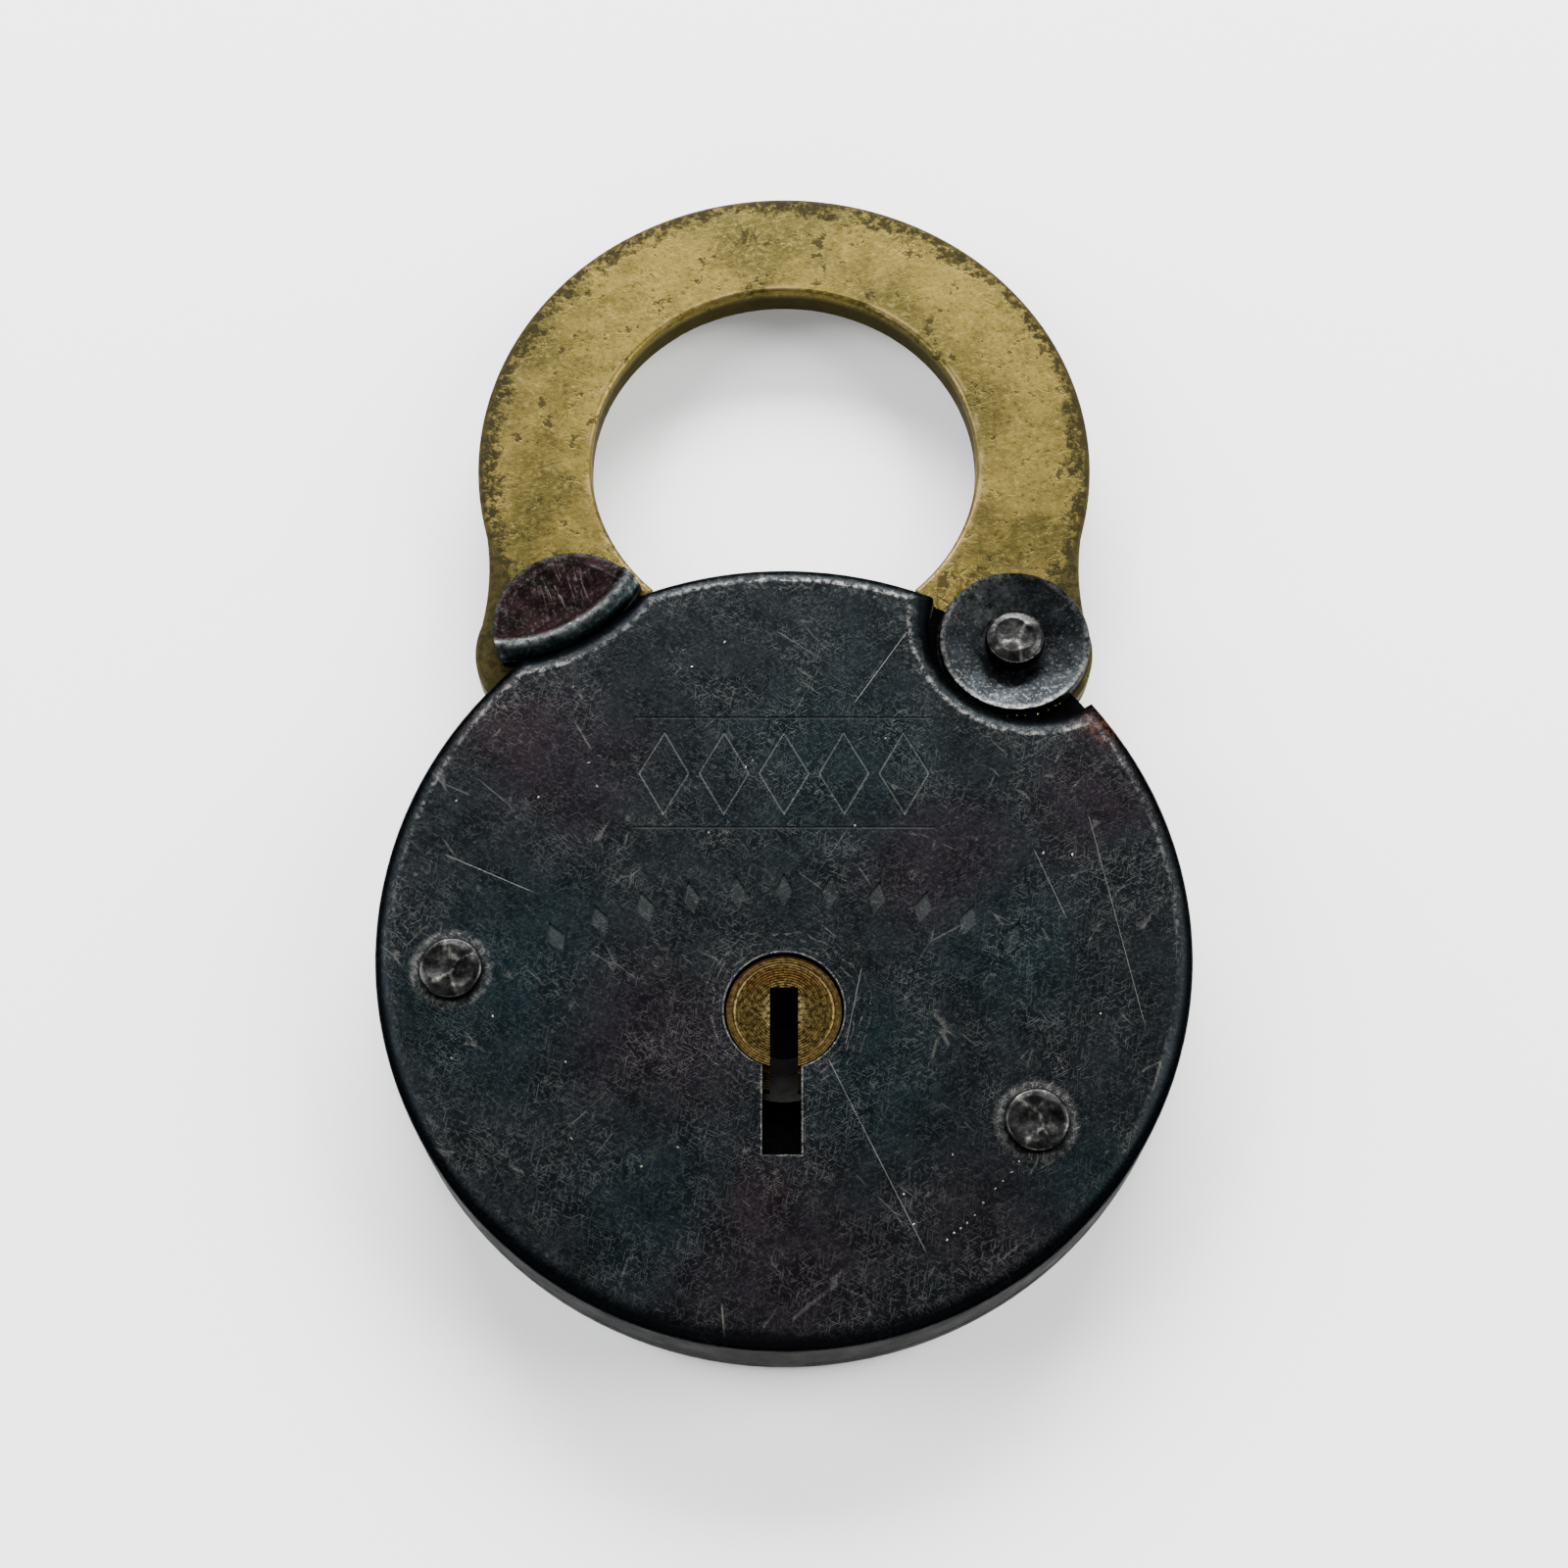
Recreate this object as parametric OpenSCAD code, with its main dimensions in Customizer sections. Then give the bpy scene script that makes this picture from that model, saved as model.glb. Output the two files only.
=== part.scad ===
// Disc padlock: a drawn steel case, a flat brass shackle and a pack of levers.
// The lock lies on its back: X to the right, Y towards the shackle, Z out of the face.
// The origin is the centre of the disc, on its back face.

/* [Case] */
// Diameter of the disc
case_d = 76.2; // [62:0.2:94]
// Thickness of the case sheet
sheet = 1.2; // [0.9:0.1:1.5]
// Radius of the rolled edge round the face
edge_r = 1.8; // [1.5:0.1:2.4]
// Height of the back shell's rim
back_h = 3.0; // [2.4:0.1:3.6]
// Depth of the back ears below the back face
back_step = 2.2; // [1.8:0.1:2.6]
// Depth of the front ears below the face
front_step = 2.8; // [2.6:0.1:3.4]
// Roll of the face down into the ear seats
roll_r = 2.3; // [1.6:0.1:2.4]

/* [Ears] */
// Thickness of the ear plate
ear_t = 1.0; // [0.8:0.1:1.2]
// Radius of the round pivot ear
pivot_ear_r = 7.4; // [6.4:0.1:8.6]
// Radius of the seat round the pivot ear
pivot_seat_r = 9.85; // [9.7:0.05:11]
// Radius of the toe ear's stamped edge
toe_ear_r = 7.8; // [6.6:0.1:9]
// Radius of the seat curve beside the toe ear
toe_seat_r = 16.45; // [14:0.05:18]
// Width of the groove between the toe ear and its seat
toe_groove = 0.45; // [0.3:0.05:1]
// Height of the bead rolled along the toe ear
toe_bead = 0.9; // [0.5:0.1:1.1]
// Depth of the hollow inside the toe ear's edge
toe_hollow = 0.45; // [0.2:0.05:0.5]
// Depth of the dish in the pivot ear
dish_depth = 1.1; // [0.5:0.1:1.3]

/* [Shackle] */
// Thickness of the shackle plate
shackle_t = 3.7; // [3:0.1:4.5]
// Distance of each lobe from the middle line
lobe_x = 22.5; // [19:0.1:26]
// Radius of the round lobes
lobe_r = 7.9; // [7:0.1:8.4]
// Outer radius of the bow
bow_r = 31.0; // [29:0.1:33]
// Width of the bow's flat
bow_w = 11.5; // [9.5:0.1:13]
// Rise of the bow's centre above the lobes
bow_rise = 21.25; // [18:0.1:25]
// Radius of the hollow neck above each lobe
neck_r = 28.0; // [16:1:40]
// Radius of the worn edge round the shackle
shackle_edge = 0.55; // [0.3:0.05:0.8]

/* [Rivets] */
// Radius of the rivet heads
head_r = 2.9; // [2.4:0.1:3.4]
// Height of the case rivets' heads
head_h = 1.2; // [0.8:0.1:1.6]
// Height of the pivot rivet's head
pivot_head_h = 2.3; // [1.6:0.1:2.8]
// Radius of the case rivets' shanks
shank_r = 1.7; // [1.4:0.1:2]
// Radius of the pivot rivet's shank
pivot_r = 2.0; // [1.6:0.1:2.4]
// Distance of the left rivet from the disc's edge
left_inset = 7.2; // [6.4:0.1:9]
// Distance of the right rivet from the disc's edge
right_inset = 9.2; // [7:0.1:11]
// Direction of the left rivet from the disc's centre, in degrees
left_angle = 186.3; // [180:0.1:192]
// Direction of the right rivet from the disc's centre, in degrees
right_angle = -37.8; // [-44:0.1:-30]

/* [Border] */
// Number of lozenges in the straight row
lozenge_n = 5; // [3:2:7]
// Half-width of a lozenge in the row
lozenge_w = 2.5; // [1.5:0.1:3]
// Half-height of a lozenge in the row
lozenge_h = 4.4; // [3:0.1:5]
// Number of small lozenges in the arc
arc_n = 11; // [7:2:13]
// Depth of the stamped lines
stamp_depth = 0.16; // [0.1:0.02:0.24]

/* [Key drum] */
// Distance of the keyhole below the disc's centre
drum_drop = 7.3; // [5:0.1:9]
// Radius of the round part of the keyhole
hole_r = 5.5; // [5:0.1:6]
// Radial gap round the drum's face
drum_gap = 0.2; // [0.1:0.05:0.3]
// Radius of the flange under the face
flange_r = 7.4; // [6.8:0.1:8]
// Reach of the key slot from the drum's centre
slot_reach = 13.5; // [12:0.1:14.5]
// Width of the keyhole's slot
slot_w = 3.5; // [3:0.1:4]
// Width of the slot in the drum
key_w = 2.6; // [2.2:0.1:2.8]
// Depth of the key slot below the face
key_depth = 6.0; // [5.4:0.1:6.2]

/* [Bolt] */
// Thickness of the bolt
bolt_t = 2.4; // [1.8:0.1:2.8]
// Travel of the bolt
throw = 5.0; // [4.4:0.1:5.4]
// Width of the bolt's nose
nose_w = 4.2; // [3.6:0.1:4.6]
// Side of the square stump
stump = 2.8; // [2.4:0.1:3]
// Radius of the guide pins
guide_r = 1.3; // [1.1:0.1:1.5]

/* [Levers] */
// Gap between two levers
lever_gap = 0.12; // [0.08:0.01:0.2]
// How far a lever drops below its gate, in degrees
lever_drop = 2.5; // [2:0.1:2.8]
// How far a lever lifts above its gate, in degrees
lever_lift = 1.5; // [1:0.1:1.8]
// Radius of the belly of the tallest lever, from the drum's centre
belly_r = 10.2; // [9.8:0.1:10.6]
// Thickness of a lever spring
spring_t = 0.35; // [0.25:0.05:0.5]

/* [Hidden] */
$fn = 96;

// Clearances
fit = 0.05;       // a shank in its hole
slide = 0.25;     // a piece that slides past another
swing = 0.3;      // the shackle over the back ears
seat_gap = 0.1;   // the front shell's seats over the ear plate
cut = 1;          // how far a cutter runs past a face

// The case and its layers, from the back up
case_r = case_d / 2;
lobe_y = sqrt(case_r * case_r - lobe_x * lobe_x);
pivot = [lobe_x, lobe_y];
toe = [-lobe_x, lobe_y];
back_ear_top = back_step + ear_t;
shackle_z = back_ear_top + swing;
shackle_top = shackle_z + shackle_t;
ear_z = shackle_top + swing - seat_gap;
ear_top = ear_z + ear_t;
seat_z = ear_top + seat_gap;
case_t = ear_top + front_step;
face_under = case_t - sheet;
seam_chamfer = 0.3;
back_edge_r = 1.3;

// The seats are struck from points above and outside the lobes
pivot_seat = pivot + [1.6, 1.45];
toe_seat = toe + [-5.5, 14.1];
toe_ear = toe + [1.7, 2.2];
toe_ear_out = toe_seat_r - toe_groove;
toe_ledge = 1.2;  // flat between the toe ear's edge and its hollow
bead_r = 1.45;
bridge_r = case_r - sheet - slide;
bridge_y = lobe_y - 9.25;
lobe_gate_r = lobe_r + 0.9;
crown_gate_r = 13.1;
dish_seat = 0.1;  // flat at the bottom of the dish, under the rivet's head

// The shackle
bow_y = lobe_y + bow_rise;
bow_in = bow_r - bow_w;
bow_dip = 48;     // how far below level the bow's ends reach, in degrees
neck_root = 8;    // how far the neck's block reaches into the bow
neck_bite = 0.1;  // how far the hollow runs under the round edges beside it
bow_at = [0, bow_y];
bow_to_neck = bow_r + neck_r - neck_bite;
lobe_to_neck = lobe_r + neck_r - neck_bite;
lobe_to_bow = norm(pivot - bow_at);
neck_along = (bow_to_neck * bow_to_neck - lobe_to_neck * lobe_to_neck
    + lobe_to_bow * lobe_to_bow) / (2 * lobe_to_bow);
neck_off = sqrt(bow_to_neck * bow_to_neck - neck_along * neck_along);
bow_dir = (pivot - bow_at) / lobe_to_bow;
neck_at = bow_at + neck_along * bow_dir + neck_off * [-bow_dir.y, bow_dir.x];

// The rivets
left_at = (case_r - left_inset) * [cos(left_angle), sin(left_angle)];
right_at = (case_r - right_inset) * [cos(right_angle), sin(right_angle)];
sink_r = shank_r + 0.8;
sink_h = 0.9;
tail_h = 1.1;
spacer_r = 3.2;

// The stamped border over the keyhole
line_w = 0.3;
row_y = 16.2;
row_pitch = 2 * lozenge_w + 0.7;
row_edge = lozenge_h + 1.2;
arc_r = 50;
arc_top = 4.4;
arc_step = 5;
small_w = 0.9;
small_h = 1.7;

// The key drum
drum_at = [0, -drum_drop];
slot_off = -0.2;
drum_face = case_t - 0.3;
flange_t = 1.1;
flange_top = face_under - 0.1;
strip_z = case_t - key_depth;
plate_t = 0.8;
plate_r = 7.1;
barrel_r = 4.9;
journal_r = 3.0;
bush_top = sheet + 1.5;
key_above = 2.3;
key_tip = 0.2;
ring_r = 4.4;
ring_w = 0.35;
ring_depth = 0.18;

// The bolt
bolt_z = shackle_z + (shackle_t - bolt_t) / 2;
bolt_top = bolt_z + bolt_t;
nose_x = -lobe_x + lobe_r + 1;
guide_x = -2.8;
upper_guide = [guide_x, lobe_y - 5];
guide_rise = 20.3;
lower_guide = [guide_x, drum_at.y + guide_rise];
shoulder_r = 2.3;
guide_head_r = 2.0;
guide_head = 0.25;
tail_y = drum_at.y + slot_reach - 3;
body_x = -7;
body_w = 16;
arm_w = 6;
talon_w = throw;
talon_h = 3.2;
stump_at = [15, drum_at.y + 15.8];
tenon_r = 1.0;

// The levers
lever_n = 4;
lever_z = bolt_top + guide_head + 0.15;
lever_pitch = (face_under - 0.12 - lever_z) / lever_n;
lever_t = lever_pitch - lever_gap;
belly_steps = [0, 0.7, 0.3, 1.1];
eye_r = 4.0;
lever_top = stump_at.y + 6.5;
lever_foot = stump_at.y - 5.3;
lever_end = stump_at.x + 4.4;
lever_back = -8;  // where the top edge starts, over the springs' ends
shoulder_at = left_at + [9, 11.5];
gate_arm = stump_at - left_at;
gate_drop = gate_arm.x * sin(lever_drop);
gate_lift = gate_arm.x * sin(lever_lift);
gate_swing_in = gate_arm.y * sin(lever_drop);
gate_swing_out = gate_arm.y * sin(lever_lift);
stop_at = [left_at.x + 6.1, lever_top + 2.0];
stop_r = 1.3;
pillar_at = [0, case_r - sheet - 1.9];
pillar_r = 1.25;

// Outlines and cutters that several pieces share

module disc_at(p, r) {
    translate(p) circle(r);
}

// The toe ear's lens: the stamped edge on one side, the seat curve on the other
module toe_lens() {
    intersection() {
        disc_at(toe_ear, toe_ear_r);
        disc_at(toe_seat, toe_ear_out);
    }
}

// Where the case wall is open for a lobe: close round the lobe, wider on the crown's side
module lobe_gate(p, seat_at, seat_r) {
    disc_at(p, lobe_gate_r);
    disc_at(seat_at, seat_r + sheet);
    intersection() {
        disc_at(p, crown_gate_r);
        translate([p.x > 0 ? p.x - crown_gate_r : p.x, p.y - crown_gate_r])
            square([crown_gate_r, 2 * crown_gate_r]);
    }
}

module lobe_gates() {
    lobe_gate(pivot, pivot_seat, pivot_seat_r);
    lobe_gate(toe, toe_seat, toe_seat_r);
}

// Half-profile of a dish of radius r, from z0 to z1, whose top edge is rolled
module dish_profile(r, z0, z1, roll) {
    translate([0, z0]) square([r, z1 - roll - z0]);
    translate([0, z0]) square([r - roll, z1 - z0]);
    translate([r - roll, z1 - roll]) circle(roll);
}

// A cutter or core for a seat: a cylinder that flares outwards at the top by the roll
module seat_core(p, r, top, roll) {
    translate([p.x, p.y, 0]) rotate_extrude() {
        square([r, top + cut]);
        difference() {
            translate([0, top - roll]) square([r + roll, roll + cut]);
            translate([r + roll, top - roll]) circle(roll);
        }
    }
}

module seat_cores(grow, top, roll) {
    seat_core(pivot_seat, pivot_seat_r + grow, top, roll);
    seat_core(toe_seat, toe_seat_r + grow, top, roll);
}

// The case

// Keyhole: a round hole with a slot below it
module keyhole() {
    disc_at(drum_at, hole_r);
    translate([slot_off - slot_w / 2, drum_at.y - slot_reach]) square([slot_w, slot_reach]);
}

// Lozenge of half-width w and half-height h
module lozenge(w, h) {
    polygon([[w, 0], [0, h], [-w, 0], [0, -h]]);
}

// Plain border: a row of open lozenges between two lines, and an arc of small ones
module border() {
    half_row = (lozenge_n - 1) / 2;
    half_arc = (arc_n - 1) / 2;
    row_l = lozenge_n * row_pitch;
    translate([0, row_y]) {
        for (i = [-half_row:half_row]) translate([i * row_pitch, 0]) difference() {
            lozenge(lozenge_w, lozenge_h);
            lozenge(lozenge_w - line_w, lozenge_h - line_w * lozenge_h / lozenge_w);
        }
        for (y = [-row_edge, row_edge])
            translate([-row_l / 2, y - line_w / 2]) square([row_l, line_w]);
    }
    translate([0, arc_top - arc_r]) for (i = [-half_arc:half_arc])
        rotate(-i * arc_step) translate([0, arc_r]) lozenge(small_w, small_h);
}

// Drawn cup: flat face, rolled edge, and two seats that roll down to the ears
module front_shell() {
    color([0.16, 0.19, 0.22]) difference() {
        difference() {
            rotate_extrude() difference() {
                dish_profile(case_r, back_h, case_t, edge_r);
                translate([case_r, back_h]) rotate(45)
                    square(seam_chamfer * sqrt(2), center = true);
            }
            seat_cores(0, case_t, roll_r);
        }
        difference() {
            rotate_extrude()
                dish_profile(case_r - sheet, back_h - cut, face_under, edge_r - sheet);
            seat_cores(sheet, face_under, roll_r - sheet);
        }
        translate([0, 0, back_h - cut]) linear_extrude(seat_z - back_h + cut) lobe_gates();
        translate([0, 0, face_under - cut]) linear_extrude(sheet + 2 * cut) {
            keyhole();
            disc_at(left_at, shank_r + fit);
            disc_at(right_at, shank_r + fit);
            disc_at(upper_guide, guide_r + fit);
        }
        translate([0, 0, case_t - stamp_depth]) linear_extrude(cut) border();
    }
}

// Shallow pan with its own seats and with both back ears drawn in one piece
module back_shell() {
    color([0.15, 0.17, 0.19]) difference() {
        union() {
            difference() {
                back_pan(case_r, 0, back_h, back_edge_r);
                linear_cut(back_h) back_seats(0);
                difference() {
                    translate([0, 0, sheet]) cylinder(r = case_r - sheet, h = back_h);
                    linear_cut(back_h) back_seats(sheet);
                }
            }
            translate([0, 0, back_step]) linear_extrude(ear_t) back_ears();
        }
        rivet_sink(left_at);
        rivet_sink(right_at);
        translate([0, 0, -cut]) linear_extrude(back_ear_top + 2 * cut) {
            disc_at(pivot, pivot_r + fit);
        }
    }
}

// Solid pan with a rolled lower edge and a small chamfer at the seam
module back_pan(r, z0, z1, roll) {
    rotate_extrude() difference() {
        union() {
            translate([0, z0 + roll]) square([r, z1 - z0 - roll]);
            translate([0, z0]) square([r - roll, z1 - z0]);
            translate([r - roll, z0 + roll]) circle(roll);
        }
        translate([r, z1]) rotate(45) square(seam_chamfer * sqrt(2), center = true);
    }
}

module linear_cut(h) {
    translate([0, 0, -cut]) linear_extrude(h + 2 * cut) children();
}

module back_seats(grow) {
    disc_at(pivot_seat, pivot_seat_r + grow);
    disc_at(toe_seat, toe_seat_r + grow);
}

// The back ears, with the floor of each seat behind them
module back_ears() {
    disc_at(pivot, pivot_ear_r);
    toe_lens();
    intersection() {
        circle(case_r);
        back_seats(sheet);
    }
}

module rivet_sink(p) {
    translate([p.x, p.y, -cut]) cylinder(r = shank_r + fit, h = sheet + 2 * cut);
    translate([p.x, p.y, 0]) cylinder(r1 = sink_r + fit, r2 = shank_r + fit, h = sink_h);
    translate([p.x, p.y, -cut]) cylinder(r = sink_r + fit, h = cut);
}

// Inner plate under the crown that carries both front ears
module ear_plate() {
    color([0.2, 0.23, 0.27]) difference() {
        union() {
            difference() {
                union() {
                    translate([0, 0, ear_z]) linear_extrude(ear_t) intersection() {
                        circle(bridge_r);
                        translate([-case_r, bridge_y]) square([case_d, case_r]);
                    }
                    translate([0, 0, ear_z]) linear_extrude(ear_t) intersection() {
                        circle(case_r - seam_chamfer);
                        disc_at(pivot_seat, pivot_seat_r - seat_gap);
                    }
                    translate([0, 0, ear_z]) linear_extrude(ear_t) intersection() {
                        circle(case_r - seam_chamfer);
                        disc_at(toe_seat, toe_seat_r + sheet - slide);
                    }
                    translate([0, 0, ear_z]) linear_extrude(ear_t) toe_lens();
                }
                hollow(toe_ear, toe_ear_r - toe_ledge, toe_hollow);
            }
            pivot_dish();
            toe_rim();
        }
        translate([0, 0, ear_z - cut]) linear_extrude(front_step + 2 * cut) {
            disc_at(pivot, pivot_r + fit);
            disc_at(upper_guide, guide_r + fit);
            disc_at(pillar_at, pillar_r + fit);
        }
    }
}

// Round ear, dished round the rivet
module pivot_dish() {
    rim = ear_top + dish_depth;
    dish_r = (pivot_ear_r * pivot_ear_r + dish_depth * dish_depth) / (2 * dish_depth);
    seat_r = head_r + 0.4;
    translate([pivot.x, pivot.y, 0]) rotate_extrude() difference() {
        dish_profile(pivot_ear_r, ear_z, rim, 0.3);
        translate([0, ear_top + dish_r]) circle(dish_r, $fn = 360);
        translate([0, ear_top + dish_seat]) square([seat_r, dish_depth]);
    }
}

// Bead along the toe ear, rolled up beside the seat
module toe_rim() {
    intersection() {
        translate([toe_seat.x, toe_seat.y, 0]) rotate_extrude() {
            translate([toe_ear_out - bead_r, ear_top + toe_bead - bead_r]) circle(bead_r);
            translate([toe_ear_out - 2 * bead_r, ear_z])
                square([2 * bead_r, ear_t + toe_bead - bead_r]);
        }
        translate([0, 0, ear_z]) linear_extrude(front_step) toe_lens();
    }
}

// Shallow round hollow of radius r in the top of an ear
module hollow(p, r, deep) {
    ball = (r * r + deep * deep) / (2 * deep);
    translate([p.x, p.y, ear_top - deep + ball]) sphere(ball, $fn = 180);
}

// The shackle

// Half-profile of the flat bar with worn edges, from x = a to b
module bar_profile(a, b) {
    e = shackle_edge;
    translate([a, e]) square([b - a, shackle_t - 2 * e]);
    translate([a + e, 0]) square([b - a - 2 * e, shackle_t]);
    for (x = [a + e, b - e], y = [e, shackle_t - e]) translate([x, y]) circle(e, $fn = 24);
}

// Round lobe with worn edges
module lobe(p) {
    e = shackle_edge;
    translate([p.x, p.y, shackle_z]) rotate_extrude() {
        translate([0, e]) square([lobe_r, shackle_t - 2 * e]);
        square([lobe_r - e, shackle_t]);
        for (y = [e, shackle_t - e]) translate([lobe_r - e, y]) circle(e, $fn = 24);
    }
}

// Block that joins bow and lobe on the right, hollowed by a round cutter with worn edges
module neck() {
    e = shackle_edge;
    on_bow = bow_at + (bow_r - 3 * neck_bite) * (neck_at - bow_at) / bow_to_neck;
    on_lobe = pivot + (lobe_r - 3 * neck_bite) * (neck_at - pivot) / lobe_to_neck;
    in_bow = bow_at + (bow_r - neck_root) * (neck_at - bow_at) / bow_to_neck;
    translate([0, 0, shackle_z]) difference() {
        linear_extrude(shackle_t) polygon([on_bow, on_lobe, pivot, in_bow]);
        translate([neck_at.x, neck_at.y, 0]) rotate_extrude($fn = 180) {
            translate([0, -cut]) square([neck_r, shackle_t + 2 * cut]);
            difference() {
                translate([0, -cut]) square([neck_r + e, e + cut]);
                translate([neck_r + e, e]) circle(e, $fn = 24);
            }
            difference() {
                translate([0, shackle_t - e]) square([neck_r + e, e + cut]);
                translate([neck_r + e, shackle_t - e]) circle(e, $fn = 24);
            }
        }
    }
}

// Flat horseshoe: bow, two necks, two lobes, a pivot hole and the notch in the toe
module shackle() {
    color([0.66, 0.56, 0.28]) difference() {
        union() {
            translate([0, bow_y, shackle_z]) rotate([0, 0, -bow_dip])
                rotate_extrude(angle = 180 + 2 * bow_dip, $fn = 180) bar_profile(bow_in, bow_r);
            lobe(pivot);
            lobe(toe);
            neck();
            mirror([1, 0, 0]) neck();
        }
        translate([pivot.x, pivot.y, 0]) cylinder(r = pivot_r + fit, h = case_t);
        translate([nose_x - throw - swing, lobe_y - nose_w / 2 - slide, shackle_z - cut])
            cube([throw + swing + lobe_r, nose_w + 2 * slide, shackle_t + 2 * cut]);
    }
}

// The rivets

// Domed head struck by a few hammer blows that lean the same way round
module struck_head(r, h) {
    ball = (r * r + h * h) / (2 * h);
    side = 1.12;  // how much of the dome's height is a straight side
    lean = [18, 24, 0];
    blow = [0.5 * r, 0, 0.97 * h];
    difference() {
        intersection() {
            cylinder(r = r, h = h);
            translate([0, 0, h * side - ball]) sphere(ball);
        }
        for (a = [0:72:288]) rotate([0, 0, a]) translate(blow) rotate(lean)
            translate([-r, -r / 5, 0]) cube([2 * r, 6 * r / 5, h]);
    }
}

// Case rivet: struck head on the face, flush countersunk tail in the back
module case_rivet(p) {
    translate([p.x, p.y, 0]) {
        cylinder(r = shank_r, h = case_t);
        cylinder(r1 = sink_r, r2 = shank_r, h = sink_h);
        translate([0, 0, case_t]) struck_head(head_r, head_h);
    }
}

module left_rivet() {
    color([0.2, 0.21, 0.23]) case_rivet(left_at);
}

module right_rivet() {
    color([0.2, 0.21, 0.23]) case_rivet(right_at);
}

// Shackle pivot: a tall struck head on the dished ear, a low dome under the back ear
module pivot_rivet() {
    color([0.18, 0.19, 0.2]) translate([pivot.x, pivot.y, 0]) {
        translate([0, 0, back_step - tail_h])
            cylinder(r = pivot_r, h = ear_top + dish_seat - back_step + tail_h + cut);
        translate([0, 0, back_step]) mirror([0, 0, 1]) struck_head(head_r, tail_h);
        translate([0, 0, ear_top + dish_seat]) cylinder(r = head_r, h = pivot_head_h - head_h);
        translate([0, 0, ear_top + dish_seat + pivot_head_h - head_h]) struck_head(head_r, head_h);
    }
}

module sleeve(p, r, bore, z0, z1) {
    translate([p.x, p.y, z0]) difference() {
        cylinder(r = r, h = z1 - z0);
        translate([0, 0, -cut]) cylinder(r = bore, h = z1 - z0 + 2 * cut);
    }
}

// Sleeve that keeps the shells apart at the right rivet
module right_spacer() {
    color([0.45, 0.45, 0.44]) sleeve(right_at, spacer_r, shank_r + fit, sheet, face_under);
}

// Sleeve under the levers on the left rivet
module lever_bush() {
    color([0.45, 0.45, 0.44]) sleeve(left_at, spacer_r, shank_r + fit, sheet, lever_z - fit);
}

// The key drum

// The slot for the key, from above the drum's centre out past the flange
module key_slot_cut() {
    translate([-key_w / 2, -flange_r - cut]) square([key_w, flange_r + cut + key_above]);
}

// Turned brass drum: face in the keyhole, flange under the face, slotted barrel, tail
module key_drum() {
    color([0.62, 0.5, 0.22]) translate([drum_at.x, drum_at.y, 0]) difference() {
        union() {
            translate([0, 0, sheet + 0.1]) cylinder(r = journal_r, h = strip_z - plate_t - sheet - 0.1);
            translate([0, 0, bush_top + 0.1])
                cylinder(r = barrel_r, h = strip_z - plate_t - bush_top - 0.1);
            translate([0, 0, strip_z]) cylinder(r = barrel_r, h = flange_top - strip_z);
            translate([0, 0, strip_z - plate_t]) cylinder(r = journal_r, h = plate_t);
            translate([0, 0, flange_top - flange_t]) cylinder(r = flange_r, h = flange_t);
            translate([0, 0, flange_top - fit])
                cylinder(r = hole_r - drum_gap, h = drum_face - flange_top + fit);
        }
        translate([0, 0, strip_z]) linear_extrude(case_t) key_slot_cut();
        translate([-key_w / 2, key_tip, sheet + 0.8]) cube([key_w, key_above - key_tip, case_t]);
        translate([0, 0, drum_face - ring_depth]) difference() {
            cylinder(r = ring_r + ring_w, h = cut);
            translate([0, 0, -cut]) cylinder(r = ring_r, h = 3 * cut);
        }
    }
}

// Steel disc on the drum that closes the bottom of the key slot
module drum_plate() {
    color([0.4, 0.41, 0.42]) translate([drum_at.x, drum_at.y, strip_z - plate_t]) difference() {
        cylinder(r = plate_r, h = plate_t);
        translate([0, 0, -cut]) cylinder(r = journal_r, h = plate_t + 2 * cut);
    }
}

// Bush in the back shell that the drum's tail turns in
module drum_bush() {
    color([0.6, 0.5, 0.28]) sleeve(drum_at, journal_r + 2, journal_r + fit, sheet, bush_top);
}

// The bolt

// Straight slot for a fixed pin, from the bolt at rest to the bolt at full throw
module slide_slot(p, r) {
    disc_at(p, r);
    disc_at(p + [throw, 0], r);
    translate(p - [0, r]) square([throw, 2 * r]);
}

// Sliding bolt: nose towards the toe, body over the drum, arm for the stump, talon for the key
module bolt() {
    color([0.55, 0.53, 0.48]) difference() {
        translate([0, 0, bolt_z]) linear_extrude(bolt_t) difference() {
            union() {
                translate([nose_x, lobe_y - nose_w / 2]) square([body_x + body_w - nose_x, nose_w]);
                translate([body_x, tail_y]) square([body_w, lobe_y - tail_y]);
                translate([body_x, stump_at.y - arm_w / 2])
                    square([stump_at.x + stump - body_x, arm_w]);
            }
            translate([0, tail_y - cut]) square([talon_w, talon_h + cut]);
            slide_slot(upper_guide, guide_r + fit);
            slide_slot(lower_guide, guide_r + fit);
            slide_slot(pillar_at, pillar_r + slide);
        }
        translate([stump_at.x, stump_at.y, 0]) cylinder(r = tenon_r + fit, h = case_t);
    }
}

// Square post on the bolt that runs in the levers' gates
module bolt_stump() {
    color([0.62, 0.61, 0.58]) translate([stump_at.x, stump_at.y, bolt_z]) {
        cylinder(r = tenon_r, h = bolt_t);
        translate([-stump / 2, -stump / 2, bolt_t]) cube([stump, stump, face_under - bolt_top - seat_gap]);
    }
}

// Shouldered pin: the bolt slides on its shoulder
module guide_pin(p, top) {
    translate([p.x, p.y, sheet]) cylinder(r = shoulder_r, h = bolt_z - fit - sheet);
    translate([p.x, p.y, bolt_z - fit]) cylinder(r = guide_r, h = top - bolt_z + fit);
}

module upper_guide_pin() {
    color([0.5, 0.5, 0.48]) guide_pin(upper_guide, case_t);
}

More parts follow.
